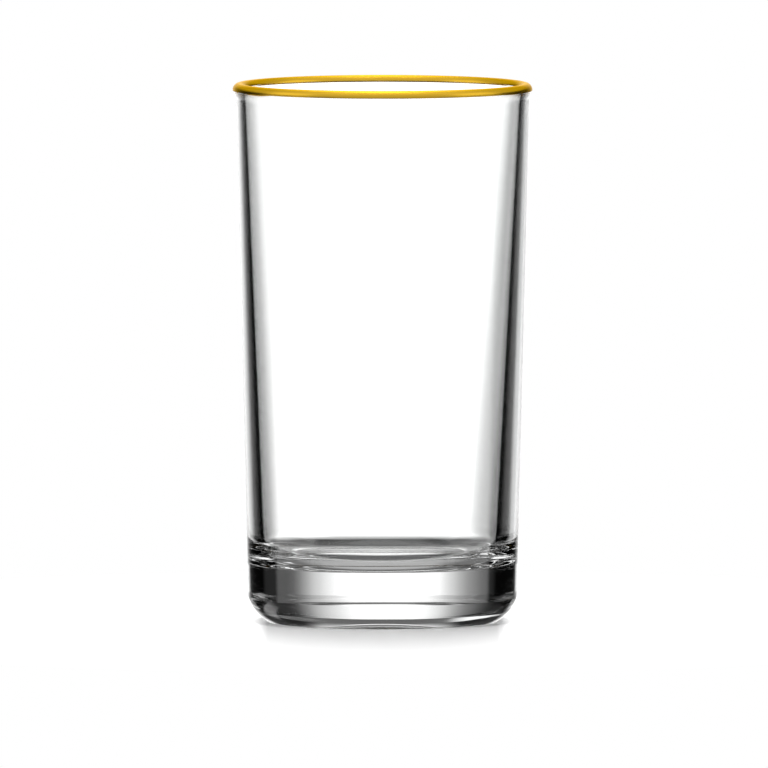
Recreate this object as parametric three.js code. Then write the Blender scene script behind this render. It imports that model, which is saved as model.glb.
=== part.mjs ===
// Highball glass: a tapered tumbler of clear pressed glass with a thick base, and a gold band
// fired onto its lip.
// Millimetres, +Z up. The origin is on the table, under the middle of the foot.

import * as THREE from 'three';

// Overall sizes
const glassHeight = 126.5; // table to the top of the gold band
const lipDiameter = 69.7; // glass across the bead of the lip, its widest part
const footDiameter = 63; // outer wall carried straight down to the table

// Lip
const rimWall = 2.25; // wall just under the lip
const beadProud = 0.2; // how far the bead stands out of the outer wall
const neckFillet = 16; // hollow round that eases the bead into that wall

// Cavity and base
const floorBore = 53.8; // cavity wall carried straight down to the floor
const baseThickness = 13.6; // table to the middle of the cavity floor
const floorFillet = 8; // round between cavity wall and floor
const floorCrownRadius = 400; // the floor is raised a little in the middle, to this radius

// Foot
const heelHeight = 5.7; // table to the crease in the outer wall where the heel starts
const heelRadius = 10; // round of the heel, from that crease to the foot ring
const footRingDiameter = 54; // outer edge of the flat ring that the glass stands on
const footRingWidth = 4;
const puntDepth = 6.5; // hollow under the base, inside the ring
const puntFlatness = 2.5; // power of the hollow's section: 2 is half an ellipse, more has a flatter top

// Gold band
const goldThickness = 0.3;
const goldSeat = 0.02; // clearance between the band and the glass
const goldOuterDrop = 1.3; // lip top to the band's lower edge, outside
const goldInnerDrop = 0.7; // lip top to the band's lower edge, inside

// Facets
const turnSegments = 72; // round the axis
const arcStep = Math.PI / 10; // largest turn of one facet along a round
const arcFacets = 3; // fewest facets along a round
const puntFacets = 12;

// The half-section is drawn with x as radius and y as height.
const point = (radius, height) => new THREE.Vector2(radius, height);

function polar(centre, radius, angle) {
  return point(centre.x + radius * Math.cos(angle), centre.y + radius * Math.sin(angle));
}

function arc(centre, radius, from, to) {
  const steps = Math.max(arcFacets, Math.ceil(Math.abs(to - from) / arcStep));
  return Array.from({ length: steps + 1 }, (_, i) => polar(centre, radius, from + ((to - from) * i) / steps));
}

// An arc from one point to another that bulges to the right of the way.
function arcBetween(first, last, radius) {
  const along = last.clone().sub(first);
  const reach = Math.sqrt(radius ** 2 - along.lengthSq() / 4) / along.length();
  const middle = first.clone().add(last).divideScalar(2);
  const centre = point(middle.x - along.y * reach, middle.y + along.x * reach);
  const angleTo = (end) => Math.atan2(end.y - centre.y, end.x - centre.x);
  return arc(centre, radius, angleTo(first), angleTo(last));
}

function revolve(profile) {
  const geometry = new THREE.LatheGeometry(profile, turnSegments);
  return geometry.rotateX(Math.PI / 2);
}

// The bead of the lip is a round rod, flush with the cavity wall.
const beadRadius = (rimWall + beadProud) / 2;
const bead = point(lipDiameter / 2 - beadRadius, glassHeight - goldThickness - goldSeat - beadRadius);

// Both walls are straight in section: the outer one runs up beside the bead, the cavity wall touches it.
const outerDraft = Math.atan2(lipDiameter / 2 - beadProud - footDiameter / 2, bead.y);
const beadFromFloor = bead.clone().sub(point(floorBore / 2, baseThickness));
const cavityLean = Math.atan2(beadFromFloor.x, beadFromFloor.y);
const cavityDraft = cavityLean - Math.asin(beadRadius / beadFromFloor.length());

function lip() {
  const wallGap = (beadRadius - beadProud) * Math.cos(outerDraft);
  const neckTurn = Math.acos((neckFillet + wallGap) / (neckFillet + beadRadius));
  const beadFrom = -outerDraft - neckTurn;
  const neck = polar(bead, beadRadius + neckFillet, beadFrom);
  return [
    ...arc(neck, neckFillet, Math.PI - outerDraft, Math.PI + beadFrom),
    ...arc(bead, beadRadius, beadFrom, Math.PI - cavityDraft),
  ];
}

// The floor fillet touches the cavity wall and runs smoothly into the crown of the floor.
function cavityFloor() {
  const slope = Math.tan(cavityDraft);
  const reach = floorBore / 2 - floorFillet / Math.cos(cavityDraft);
  const a = 1 + slope ** 2;
  const b = reach * slope + floorCrownRadius;
  const c = reach ** 2 + floorCrownRadius ** 2 - (floorCrownRadius + floorFillet) ** 2;
  const rise = (-b + Math.sqrt(b ** 2 - a * c)) / a;
  const fillet = point(reach + slope * rise, baseThickness + rise);
  const crown = point(0, baseThickness - floorCrownRadius);
  const meet = Math.atan2(fillet.y - crown.y, fillet.x);
  return [
    ...arc(fillet, floorFillet, -cavityDraft, meet - Math.PI),
    ...arc(crown, floorCrownRadius, meet, Math.PI / 2),
  ];
}

// The hollow under the base, from its middle out to the foot ring.
function punt(rimRadius) {
  const round = (part) => Math.sin((part * Math.PI) / 2) ** (2 / puntFlatness);
  return Array.from({ length: puntFacets + 1 }, (_, i) => {
    const part = i / puntFacets;
    return point(rimRadius * round(part), puntDepth * round(1 - part));
  });
}

// From the hollow, over the flat ring, and up the heel to its crease.
function foot() {
  const ringRadius = footRingDiameter / 2;
  const crease = point(footDiameter / 2 + heelHeight * Math.tan(outerDraft), heelHeight);
  return [...punt(ringRadius - footRingWidth), ...arcBetween(point(ringRadius, 0), crease, heelRadius)];
}

function glassBody() {
  const section = [...foot(), ...lip(), ...cavityFloor()];
  section[section.length - 1].x = 0;
  const clearGlass = new THREE.MeshStandardMaterial({
    color: 0xf3f7f6,
    roughness: 0.03,
    metalness: 0,
    transparent: true,
    opacity: 0.35,
  });
  const mesh = new THREE.Mesh(revolve(section), clearGlass);
  mesh.name = 'glass_body';
  return mesh;
}

// A thin skin that hugs the bead, from its outer edge over the top to its inner edge.
function goldRim() {
  const angleAt = (drop) => Math.asin(1 - drop / beadRadius);
  const from = angleAt(goldOuterDrop);
  const to = Math.PI - angleAt(goldInnerDrop);
  const seat = beadRadius + goldSeat;
  const section = [
    ...arc(bead, seat + goldThickness, from, to),
    ...arc(bead, seat, to, from),
  ];
  section.push(section[0].clone());
  const firedGold = new THREE.MeshStandardMaterial({ color: 0xd6a62e, roughness: 0.2, metalness: 1 });
  const mesh = new THREE.Mesh(revolve(section), firedGold);
  mesh.name = 'gold_rim';
  return mesh;
}

const highballGlass = new THREE.Group();
highballGlass.add(glassBody(), goldRim());

export default highballGlass;
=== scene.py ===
import math

import bmesh
import bpy
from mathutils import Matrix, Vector


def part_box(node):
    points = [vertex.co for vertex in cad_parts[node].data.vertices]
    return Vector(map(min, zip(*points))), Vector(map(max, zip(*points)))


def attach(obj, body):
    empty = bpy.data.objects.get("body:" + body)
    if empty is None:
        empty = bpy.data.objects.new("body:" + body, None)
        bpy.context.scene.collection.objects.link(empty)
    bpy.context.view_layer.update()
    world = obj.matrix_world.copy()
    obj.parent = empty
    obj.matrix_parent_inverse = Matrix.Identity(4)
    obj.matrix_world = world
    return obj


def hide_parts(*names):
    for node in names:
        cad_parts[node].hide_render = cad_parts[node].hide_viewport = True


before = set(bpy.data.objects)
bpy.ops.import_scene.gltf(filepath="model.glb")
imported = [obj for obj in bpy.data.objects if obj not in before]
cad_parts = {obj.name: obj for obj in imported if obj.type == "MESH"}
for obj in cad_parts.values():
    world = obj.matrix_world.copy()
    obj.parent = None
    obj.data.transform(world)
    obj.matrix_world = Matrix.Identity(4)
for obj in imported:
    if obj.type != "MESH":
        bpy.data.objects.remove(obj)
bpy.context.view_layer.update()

millimetre = 0.001
degree = math.radians(1)
white = (1.0, 1.0, 1.0, 1.0)

scene = bpy.context.scene
scene.view_settings.view_transform = "Standard"
scene.cycles.max_bounces = 32            # thick glass needs many bounces
scene.cycles.transmission_bounces = 32
scene.cycles.glossy_bounces = 16


# Wraps a node socket, so that shader maths reads as plain expressions.
class Wire:
    def __init__(self, tree, socket=None):
        self.tree = tree
        self.socket = socket

    # any node: its type, its settings, its sockets' values or links, and the output to carry on with
    def make(self, kind, settings=None, sockets=None, out=0):
        node = self.tree.nodes.new(kind)
        for name, value in (settings or {}).items():
            if name == "stops":
                self.setStops(node.color_ramp, value)
            else:
                setattr(node, name, value)
        for name, value in (sockets or {}).items():
            if isinstance(value, Wire):
                self.tree.links.new(value.socket, node.inputs[name])
            else:
                node.inputs[name].default_value = value
        return Wire(self.tree, node.outputs[out] if len(node.outputs) else None)

    def setStops(self, ramp, stops):
        ramp.elements.remove(ramp.elements[1])
        for i, (place, level) in enumerate(stops):
            element = ramp.elements[0] if i == 0 else ramp.elements.new(place)
            element.position = place
            element.color = (level, level, level, 1.0)

    def maths(self, operation, first, second=0.0):
        return self.make("ShaderNodeMath", {"operation": operation}, {0: first, 1: second})

    def __add__(self, other):
        return self.maths("ADD", self, other)

    def __radd__(self, other):
        return self.maths("ADD", other, self)

    def __sub__(self, other):
        return self.maths("SUBTRACT", self, other)

    def __rsub__(self, other):
        return self.maths("SUBTRACT", other, self)

    def __mul__(self, other):
        return self.maths("MULTIPLY", self, other)

    def __rmul__(self, other):
        return self.maths("MULTIPLY", other, self)

    def __truediv__(self, other):
        return self.maths("DIVIDE", self, other)

    def __rtruediv__(self, other):
        return self.maths("DIVIDE", other, self)

    def __neg__(self):
        return self.maths("SUBTRACT", 0.0, self)

    def __abs__(self):
        return self.maths("ABSOLUTE", self)


def newTree(owner):
    owner.use_nodes = True
    owner.node_tree.nodes.clear()
    return Wire(owner.node_tree)


def greatest(first, *others):
    for other in others:
        first = first.maths("MAXIMUM", first, other)
    return first


def rayIs(wire, kind):
    return wire.make("ShaderNodeLightPath", out=kind)


def along(place, axis):
    return place.make("ShaderNodeSeparateXYZ", {}, {0: place}, "XYZ".index(axis))


def stretch(place, factors):
    return place.make("ShaderNodeVectorMath", {"operation": "MULTIPLY"}, {0: place, 1: factors})


def noise(place, scale, detail):
    return place.make("ShaderNodeTexNoise", {}, {"Vector": place, "Scale": scale, "Detail": detail})


# 0 where the value is at start, 1 where it is at end
def easeIn(value, start, end):
    return value.make("ShaderNodeMapRange", {"interpolation_type": "SMOOTHSTEP"}, {
        "Value": value, "From Min": start, "From Max": end,
    })


# the node's colour sockets are 6 and 7, and 2 on the way out
def mixColours(factor, first, second):
    return factor.make("ShaderNodeMix", {"data_type": "RGBA"}, {"Factor": factor, 6: first, 7: second}, 2)


# Facets round the axis, and along each stretch of the sections.
facets = {
    "turn": 360,
    "neck": 8,
    "bead": 40,
    "wall": 24,
    "floorFillet": 24,
    "floorCrown": 16,
    "hollow": 64,
    "heel": 24,
    "band": 32,
}
creaseAngle = 12 * degree    # sharper edges don't shade smooth
onAxis = 1e-7                # a smaller radius is a point on the axis


# Half-section helpers: a point is (radius, height), in metres.
def polar(centre, radius, angle):
    return (centre[0] + radius * math.cos(angle), centre[1] + radius * math.sin(angle))


def arc(centre, radius, start, end, steps):
    return [polar(centre, radius, start + (end - start) * i / steps) for i in range(steps + 1)]


def straight(first, last, steps):
    return [tuple(a + (b - a) * i / steps for a, b in zip(first, last)) for i in range(1, steps)]


def newPiece(name, shape):
    mesh = bpy.data.meshes.new(name)
    shape.to_mesh(mesh)
    shape.free()
    piece = bpy.data.objects.new(name, mesh)
    scene.collection.objects.link(piece)
    return piece


# Turns a half-section about the Z axis. A section that starts and ends on the axis is capped there.
def lathe(name, section, closed):
    turns = facets["turn"]
    angles = [2 * math.pi * i / turns for i in range(turns)]
    shape = bmesh.new()
    rings = []
    for radius, height in section:
        if radius < onAxis:
            rings.append([shape.verts.new((0.0, 0.0, height))] * turns)
            continue
        rings.append([shape.verts.new((radius * math.cos(a), radius * math.sin(a), height)) for a in angles])
    pairs = list(zip(rings, rings[1:])) + ([(rings[-1], rings[0])] if closed else [])
    for low, high in pairs:
        for i in range(turns):
            j = (i + 1) % turns
            corners = [low[i], low[j], high[j], high[i]]
            shape.faces.new(list(dict.fromkeys(corners)))
    bmesh.ops.recalc_face_normals(shape, faces=shape.faces)
    piece = newPiece(name, shape)
    piece.data.shade_smooth()
    piece.data.set_sharp_from_angle(angle=creaseAngle)
    return piece


# The tumbler, in millimetres. Its height and the width of its lip come from the glass_body part of
# model.glb.
tumbler = {
    "footRadius": 31.5,      # outer wall carried down to the table
    "rimWall": 2.25,         # wall just under the lip
    "beadProud": 0.2,        # the lip's bead beyond the outer wall
    "neckFillet": 16.0,      # eases the bead into that wall
    "floorBore": 27.1,       # radius of the cavity wall carried down to the floor
    "cavityShift": -0.45,    # the floor is this far off the axis, and the lip on it
    "baseThickness": 13.45,  # table to the top of the cavity floor's crown
    "floorFillet": 7.5,      # cavity wall to floor
    "floorCrown": 400.0,     # the floor is raised in the middle, to this radius
    "heelHeight": 5.7,       # the heel starts at a crease in the outer wall
    "heelRadius": 10.0,
    "footOuter": 27.0,       # outer edge of the flat ring that it stands on
    "footRing": 4.0,         # width of that ring
    "puntDepth": 6.2,        # hollow inside the ring
}
puntFlatness = 2.5           # power of the hollow's section: 2 is half an ellipse, more has a flatter top

t = {key: value * millimetre for key, value in tumbler.items()}
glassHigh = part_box("glass_body")[1]
beadRadius = (t["rimWall"] + t["beadProud"]) / 2
bead = (glassHigh.x - beadRadius, glassHigh.z - beadRadius)


# A straight wall in section, from its foot up at a draft.
class Wall:
    def __init__(self, footRadius, footHeight, draft):
        self.draft = draft
        self.slope = math.tan(draft)
        self.footRadius = footRadius
        self.footHeight = footHeight

    def radiusAt(self, height):
        return self.footRadius + self.slope * (height - self.footHeight)


# The outer wall runs up beside the bead, the cavity wall touches it.
outerDraft = math.atan2(glassHigh.x - t["beadProud"] - t["footRadius"], bead[1])
outerWall = Wall(t["footRadius"], 0.0, outerDraft)
across, up = bead[0] - t["floorBore"], bead[1] - t["baseThickness"]
cavityDraft = math.atan2(across, up) - math.asin(beadRadius / math.hypot(across, up))
cavityWall = Wall(t["floorBore"], t["baseThickness"], cavityDraft)

# The bead goes round from the neck, below its widest part, to the cavity wall.
neckGap = (beadRadius - t["beadProud"]) * math.cos(outerWall.draft)
neckTurn = math.acos((t["neckFillet"] + neckGap) / (t["neckFillet"] + beadRadius))
beadStart = -outerWall.draft - neckTurn
beadEnd = math.pi - cavityWall.draft


def lipSection():
    neck = polar(bead, beadRadius + t["neckFillet"], beadStart)
    neckStart = math.pi - outerWall.draft
    return (
        arc(neck, t["neckFillet"], neckStart, math.pi + beadStart, facets["neck"])[:-1]
        + arc(bead, beadRadius, beadStart, beadEnd, facets["bead"])
    )


# The fillet touches the cavity wall and runs smoothly into the crown of the floor.
def cavitySection():
    crownRadius = t["floorCrown"]
    fillet = t["floorFillet"]
    reach = t["floorBore"] - fillet / math.cos(cavityWall.draft)
    a = 1 + cavityWall.slope ** 2
    b = reach * cavityWall.slope + crownRadius
    c = reach ** 2 + crownRadius ** 2 - (crownRadius + fillet) ** 2
    rise = (-b + math.sqrt(b ** 2 - a * c)) / a
    corner = (reach + cavityWall.slope * rise, t["baseThickness"] + rise)
    crown = (0.0, t["baseThickness"] - crownRadius)
    meet = math.atan2(corner[1] - crown[1], corner[0])
    return (
        arc(corner, fillet, -cavityWall.draft, meet - math.pi, facets["floorFillet"])[:-1]
        + arc(crown, crownRadius, meet, math.pi / 2, facets["floorCrown"])
    )


# Centre of the arc of a given radius that bulges to the right of the way from first to last.
def arcCentre(first, last, radius):
    alongX, alongY = last[0] - first[0], last[1] - first[1]
    chord = math.hypot(alongX, alongY)
    reach = math.sqrt(radius ** 2 - chord ** 2 / 4) / chord
    return ((first[0] + last[0]) / 2 - alongY * reach, (first[1] + last[1]) / 2 + alongX * reach)


# From the middle of the hollow, over the flat ring, and up the heel to its crease.
def footSection():
    heelTop = (outerWall.radiusAt(t["heelHeight"]), t["heelHeight"])
    ringOuter = (t["footOuter"], 0.0)
    heel = arcCentre(ringOuter, heelTop, t["heelRadius"])
    start = math.atan2(ringOuter[1] - heel[1], ringOuter[0] - heel[0])
    end = math.atan2(heelTop[1] - heel[1], heelTop[0] - heel[0])
    hollowRim = t["footOuter"] - t["footRing"]

    def rounding(part):
        return math.sin(part * math.pi / 2) ** (2 / puntFlatness)

    parts = [i / facets["hollow"] for i in range(facets["hollow"] + 1)]
    hollow = [(hollowRim * rounding(part), t["puntDepth"] * rounding(1 - part)) for part in parts]
    return hollow + arc(heel, t["heelRadius"], start, end, facets["heel"])


# The cavity leans to one side. Its vertices lie inside the middle of the wall and above the hollow.
def leanCavity(piece):
    lean = t["cavityShift"] / (bead[1] - t["baseThickness"])
    lowest = (t["puntDepth"] + t["baseThickness"]) / 2
    for vertex in piece.data.vertices:
        height = vertex.co.z
        midWall = (outerWall.radiusAt(height) + cavityWall.radiusAt(height)) / 2
        if lowest < height < bead[1] and math.hypot(*vertex.co.xy) < midWall:
            vertex.co.x += lean * (bead[1] - height)


def makeTumbler():
    foot, lip, cavity = footSection(), lipSection(), cavitySection()
    cavity[-1] = (0.0, cavity[-1][1])
    outside = straight(foot[-1], lip[0], facets["wall"])
    inside = straight(lip[-1], cavity[0], facets["wall"])
    piece = lathe("tumbler", foot + outside + lip + inside + cavity, closed=False)
    leanCavity(piece)
    return piece


# The gold band, in millimetres.
band = {
    "thickness": 0.3,
    "seat": 0.02,            # clearance to the glass
    "outerDrop": 1.38,       # lip top to the band's lower edge, outside
    "innerDrop": 1.0,        # lip top to the band's lower edge, inside
}


def makeBand():
    b = {key: value * millimetre for key, value in band.items()}
    seat = beadRadius + b["seat"]
    start = math.asin(1 - b["outerDrop"] / beadRadius)
    end = math.pi - math.asin(1 - b["innerDrop"] / beadRadius)
    section = (
        arc(bead, seat + b["thickness"], start, end, facets["band"])
        + arc(bead, seat, end, start, facets["band"])
    )
    return lathe("goldBand", section, closed=True)


# Pressed glass: faintly wavy near the base, where the mould chilled it.
glassLook = {
    "ior": 1.52,
    "pure": white,
    "tinted": (0.985, 0.995, 0.99, 1.0),
    "driftScale": 30.0,      # of the change from pure to tinted
    "waves": (25, 25, 420),  # detail per metre: long round the wall, short up it
    "wavesFrom": 0.013,      # metres above the table
    "wavesTo": 0.034,
    "bump": 0.1,
    "bumpDepth": 0.0002,     # metres
}


def clearGlass():
    material = bpy.data.materials.new("clearGlass")
    wire = newTree(material)
    place = wire.make("ShaderNodeTexCoord", out="Object")
    waves = noise(stretch(place, glassLook["waves"]), 1.0, 2.0)
    chilled = easeIn(along(place, "Z"), glassLook["wavesTo"], glassLook["wavesFrom"])
    bump = wire.make("ShaderNodeBump", {}, {
        "Strength": glassLook["bump"], "Distance": glassLook["bumpDepth"], "Height": waves * chilled,
    })
    drift = noise(place, glassLook["driftScale"], 1.0)
    shader = wire.make("ShaderNodeBsdfPrincipled", {}, {
        "Base Color": mixColours(drift, glassLook["pure"], glassLook["tinted"]),
        "Roughness": 0.0,
        "IOR": glassLook["ior"],
        "Transmission Weight": 1.0,
        "Normal": bump,
    })
    wire.make("ShaderNodeOutputMaterial", {}, {"Surface": shader})
    return material


# Gold paint fired on with a brush: fine streaks run round the lip, and its tone drifts.
gold = {
    "deep": (0.53, 0.3, 0.016, 1.0),
    "bright": (0.72, 0.45, 0.04, 1.0),
    "edge": (0.95, 0.72, 0.25, 1.0),  # at grazing angles
    "roughness": (0.2, 0.36),
    "streaks": (20, 20, 4000),        # detail per metre, round the lip and up it
    "driftScale": 90.0,
    "bump": 0.06,
    "bumpDepth": 0.0001,              # metres
}


def firedGold():
    material = bpy.data.materials.new("firedGold")
    wire = newTree(material)
    place = wire.make("ShaderNodeTexCoord", out="Object")
    streaks = noise(stretch(place, gold["streaks"]), 1.0, 3.0)
    drift = noise(place, gold["driftScale"], 2.0)
    low, high = gold["roughness"]
    bump = wire.make("ShaderNodeBump", {}, {
        "Strength": gold["bump"], "Distance": gold["bumpDepth"], "Height": streaks,
    })
    shader = wire.make("ShaderNodeBsdfPrincipled", {}, {
        "Base Color": mixColours((streaks + drift) / 2, gold["deep"], gold["bright"]),
        "Roughness": streaks * (high - low) + low,
        "Metallic": 1.0,
        "Specular Tint": gold["edge"],
        "Normal": bump,
    })
    wire.make("ShaderNodeOutputMaterial", {}, {"Surface": shader})
    return material


# White for the camera. Glass and metal see white windows with dark gaps, which draw the glass's edges.
studio = {
    "fill": 0.08,             # plain light on the table from all round
    "key": 16.5,              # and soft light on it from above and behind
    "keySide": (0.3, 0.954),  # the way to that light, in Y and Z
    "keyPower": 4.0,          # how fast that light falls off from there
    "keyNarrow": 25.0,        # and to the sides
    "windows": 1.5,           # the windows shine over white
    # degrees to the right of straight behind, brightness of the window there
    "window": [
        (-180, 0.001), (-47, 0.001), (-42, 0.02), (-36, 0.07), (-29, 0.18), (-25, 0.31), (-21.5, 0.48),
        (-18, 0.72), (-13, 1.0), (9, 1.0), (14, 0.75), (18, 0.58), (21, 0.44), (24.5, 0.25), (28.5, 0.1),
        (31, 0.045), (34.5, 0.02), (42, 0.015), (50, 0.015), (53, 0.001),
    ],
    # the same below eye level, where the walls look
    "lowWindow": [
        (-180, 0.001), (-28, 0.001), (-25, 0.08), (-21, 0.28), (-17, 0.48), (-13, 0.7), (-9.5, 0.95),
        (-8, 1.0), (8, 1.0), (9.5, 0.86), (11, 0.68), (13, 0.53), (15, 0.46), (19, 0.4), (21, 0.3),
        (23, 0.17), (25.5, 0.05), (28, 0.001),
    ],
    # degrees of elevation, share of the lower window there
    "lowering": [(-90, 1.0), (-5.5, 1.0), (-3.5, 0.0), (90, 0.0)],
    # degrees of elevation, brightness of both
    "belt": [
        (-90, 0.0), (-24, 0.0), (-22.3, 0.12), (-20, 0.41), (-18, 0.68), (-16.5, 1.0), (0, 1.0), (6, 0.76),
        (19, 0.72), (21, 0.0),
    ],
    # degrees off the two corner windows, which are lower: behind to the left and in front to the right
    "corner": [(0, 0.8), (8, 0.8), (14, 0.5), (20, 0.12), (26, 0.0)],
    "cornerBelt": [(-31, 0.0), (-28.5, 1.0), (-19.5, 1.0), (-17.5, 0.0)],
    "cornerDrop": 7.0,        # the one behind lies lower, the one in front higher
    # degrees off straight behind and degrees of elevation of two tall windows, one at each side
    "side": [(75, 0.0), (80, 1.0), (117, 1.0), (125, 0.0)],
    # the gap above eye level darkens the ends of the base
    "sideBelt": [(-9, 0.0), (-7, 0.85), (1, 0.85), (2, 0.0), (7, 0.0), (9, 1.0), (40, 1.0), (44, 0.0)],
    # degrees of elevation, brightness all round: of the floor for glass, of the sky for gloss
    "floor": [(-90, 0.3), (-60, 0.3), (-44, 0.08), (-25, 0.08), (-20, 0.0)],
    "sky": [(10, 0.0), (16, 0.5), (36, 0.5), (52, 0.65), (90, 0.65)],
    "frontLift": 24.0,        # the sky comes this many degrees lower in front
}


def studioWorld():
    world = bpy.data.worlds.new("studio")
    scene.world = world
    wire = newTree(world)
    direction = wire.make("ShaderNodeTexCoord", out="Generated")
    x, y, z = (along(direction, axis) for axis in "XYZ")
    elevation = wire.maths("ARCSINE", z) / degree
    rightOfBack = wire.maths("ARCTAN2", x, y) / degree
    offCorner = wire.maths("ARCTAN2", abs(x + y), abs(x - y)) / degree

    # brightness along an angle, from stops in degrees
    def ramp(name, angle, low, high):
        places = [((degrees - low) / (high - low), level) for degrees, level in studio[name]]
        return wire.make("ShaderNodeValToRGB", {"stops": places}, {0: (angle - low) / (high - low)})

    def byHeight(name, angle=elevation):
        return ramp(name, angle, -90, 90)

    # what glass and gold see
    through = rayIs(wire, "Is Transmission Ray")
    level = ramp("window", rightOfBack, -180, 180)
    lower = ramp("lowWindow", rightOfBack, -180, 180)
    back = (level + (lower - level) * byHeight("lowering")) * byHeight("belt")
    cornerHeight = elevation + y * studio["cornerDrop"]
    corner = ramp("corner", offCorner, 0, 90) * byHeight("cornerBelt", cornerHeight)
    side = ramp("side", abs(rightOfBack), 0, 180) * byHeight("sideBelt")
    skyHeight = elevation + greatest(-y, 0.0) * studio["frontLift"]
    sky = byHeight("sky", skyHeight) * (1 - through)
    windows = greatest(back, corner, side, byHeight("floor"), sky) * studio["windows"]

    # what lights the table
    keyY, keyZ = studio["keySide"]
    keyLobe = wire.maths("POWER", greatest(y * keyY + z * keyZ, 0.0), studio["keyPower"])
    keyAcross = greatest(1 - x * x * studio["keyNarrow"], 0.0)
    above = wire.maths("GREATER_THAN", z, 0.0)
    tableLight = above * (keyLobe * keyAcross * studio["key"] + studio["fill"])

    camera = rayIs(wire, "Is Camera Ray")
    fromTable = wire.maths("MINIMUM", rayIs(wire, "Diffuse Depth"), 1.0)
    mirrored = greatest(rayIs(wire, "Is Glossy Ray"), through) * (1 - fromTable)
    strength = camera + (1 - camera) * (mirrored * windows + (1 - mirrored) * tableLight)
    background = wire.make("ShaderNodeBackground", {}, {"Color": white, "Strength": strength})
    wire.make("ShaderNodeOutputWorld", {}, {"Surface": background})


table = {
    "radius": 0.16,
    "segments": 128,
    "colour": (0.8, 0.8, 0.8, 1.0),
    "glow": 0.12,            # lifts the bare table to white
    "paintedSideLight": 0.8,         # painted light at both sides of the glass, which paints over its shadow there, so that only the shadow in front shows
    "sideFrom": 0.0265,      # metres off the middle
    "sideTo": 0.031,
}


def paleTable():
    material = bpy.data.materials.new("paleTable")
    wire = newTree(material)
    matt = wire.make("ShaderNodeBsdfDiffuse", {}, {"Color": table["colour"]})
    place = wire.make("ShaderNodeTexCoord", out="Object")
    # painted light: the table glows more beside the glass, painting over the glass's own shadow there
    paintedSideLightMask = easeIn(abs(along(place, "X")), table["sideFrom"], table["sideTo"])
    glowAndPaintedSideLight = paintedSideLightMask * table["paintedSideLight"] + table["glow"]
    glow = wire.make("ShaderNodeEmission", {}, {"Strength": rayIs(wire, "Is Camera Ray") * glowAndPaintedSideLight})
    both = wire.make("ShaderNodeAddShader", {}, {0: matt, 1: glow})
    wire.make("ShaderNodeOutputMaterial", {}, {"Surface": both})
    return material


def makeTable():
    shape = bmesh.new()
    bmesh.ops.create_circle(shape, cap_ends=True, segments=table["segments"], radius=table["radius"])
    top = newPiece("table", shape)
    top.data.materials.append(paleTable())
    top.visible_transmission = False     # glass and gold see the studio's windows instead
    top.visible_glossy = False


# The photograph's view: a long lens, a little above the table.
shot = {
    "lens": 1400.0,
    "sensor": 36.0,
    "frameWidth": 0.1803,    # metres across the picture at the glass
    "elevation": 3.8,
    "aim": (0.00035, 0.0, 0.0557),
    "clipEnd": 100.0,
}


def makeCamera():
    data = bpy.data.cameras.new("camera")
    data.lens = shot["lens"]
    data.sensor_width = shot["sensor"]
    data.clip_end = shot["clipEnd"]
    camera = bpy.data.objects.new("camera", data)
    scene.collection.objects.link(camera)
    scene.camera = camera
    distance = shot["frameWidth"] * shot["lens"] / shot["sensor"]
    tilt = shot["elevation"] * degree
    back = Vector((0.0, -math.cos(tilt), math.sin(tilt)))
    camera.location = Vector(shot["aim"]) + back * distance
    camera.rotation_euler = (math.pi / 2 - tilt, 0.0, 0.0)


makeCamera()
print("camera at", tuple(round(v, 3) for v in scene.camera.location))

glass = makeTumbler()
glass.data.materials.append(clearGlass())
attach(glass, "root")
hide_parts("glass_body")
print("tumbler:", len(glass.data.polygons), "faces")

goldBand = makeBand()
goldBand.data.materials.append(firedGold())
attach(goldBand, "root")
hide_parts("gold_rim")
print("gold band:", len(goldBand.data.polygons), "faces")

makeTable()
studioWorld()
print("table and studio light made")
